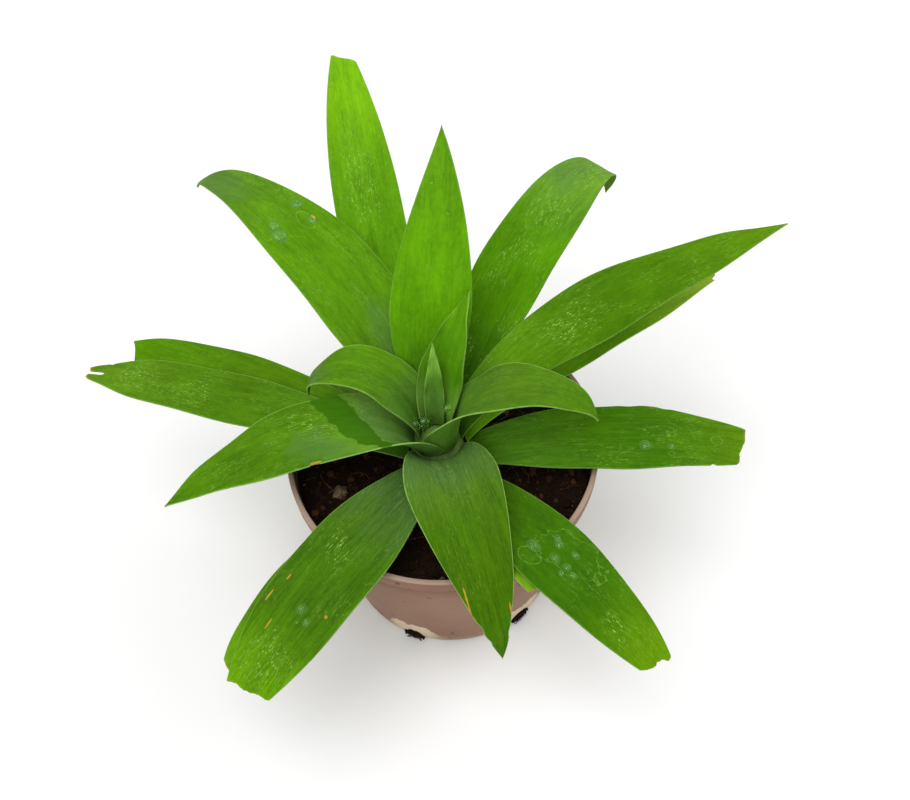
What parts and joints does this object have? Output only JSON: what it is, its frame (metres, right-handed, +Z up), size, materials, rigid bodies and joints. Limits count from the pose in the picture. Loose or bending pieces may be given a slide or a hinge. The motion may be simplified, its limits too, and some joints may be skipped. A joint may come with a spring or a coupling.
{
  "type": "potted agave",
  "caption": "Young soft-leaved agave: a loose rosette of broad green strap leaves, some with trimmed ends, over dark soil in a small round taupe nursery pot with drain notches.",
  "frame": {"origin": "centre of the pot's flat underside", "axes": "+Z up along the pot's axis; -Y towards the front, where the broad pointed leaf arches over the rim; +X to the right seen from the front"},
  "size_m": [0.2743, 0.2212, 0.2002],
  "materials": {
    "leaf": "satin, smooth green leaf skin with a slight bloom",
    "stem": "satin, pale green",
    "soil": "rough, very dark brown",
    "pot": "satin taupe plastic"
  },
  "bodies": {
    "root": {"pot": "pot", "soil": "soil", "stem": "stem", "leaf_back_tall": "leaf", "leaf_back_left_arched": "leaf", "leaf_back_centre": "leaf", "leaf_back_right_arched": "leaf", "leaf_right_long": "leaf", "leaf_right_under": "leaf", "leaf_right_cut": "leaf", "leaf_front_right_cut": "leaf", "leaf_front_pointed": "leaf", "leaf_front_left_cut": "leaf", "leaf_front_left_under": "leaf", "leaf_left_pointed": "leaf", "leaf_left_cut": "leaf", "leaf_left_split": "leaf", "leaf_inner_left": "leaf", "leaf_inner_right": "leaf", "leaf_heart_tall": "leaf", "leaf_heart_spear": "leaf", "leaf_front_small": "leaf", "leaf_old_left": "leaf"}
  },
  "joints": []
}
